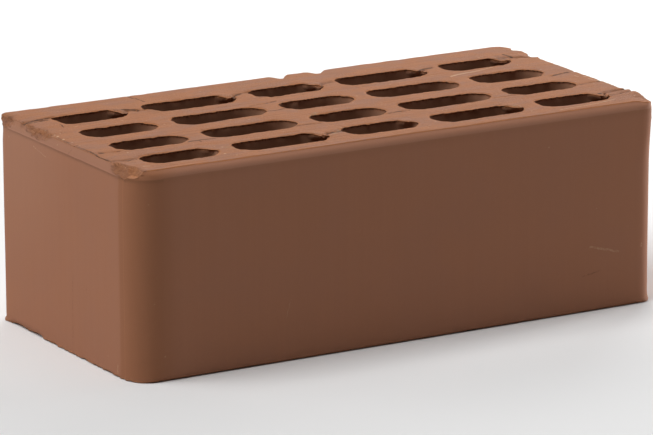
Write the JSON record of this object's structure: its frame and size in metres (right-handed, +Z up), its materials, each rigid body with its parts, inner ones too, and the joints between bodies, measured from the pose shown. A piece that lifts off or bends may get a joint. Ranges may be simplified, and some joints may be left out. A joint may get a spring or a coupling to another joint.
{
  "type": "clay brick",
  "caption": "Perforated clay facing brick: a rectangular fired block with rows of through slots, rounded face corners and rolled upper arrises.",
  "frame": {"origin": "centre of the bottom bed", "axes": "+X along the length, +Y from the face towards the back, +Z up through the beds"},
  "size_m": [0.25, 0.12, 0.088],
  "materials": {
    "fired_clay": "matt fired clay, brown-red, wire-cut beds and smooth die faces"
  },
  "bodies": {
    "root": {"clay_brick": "fired_clay"}
  },
  "joints": []
}
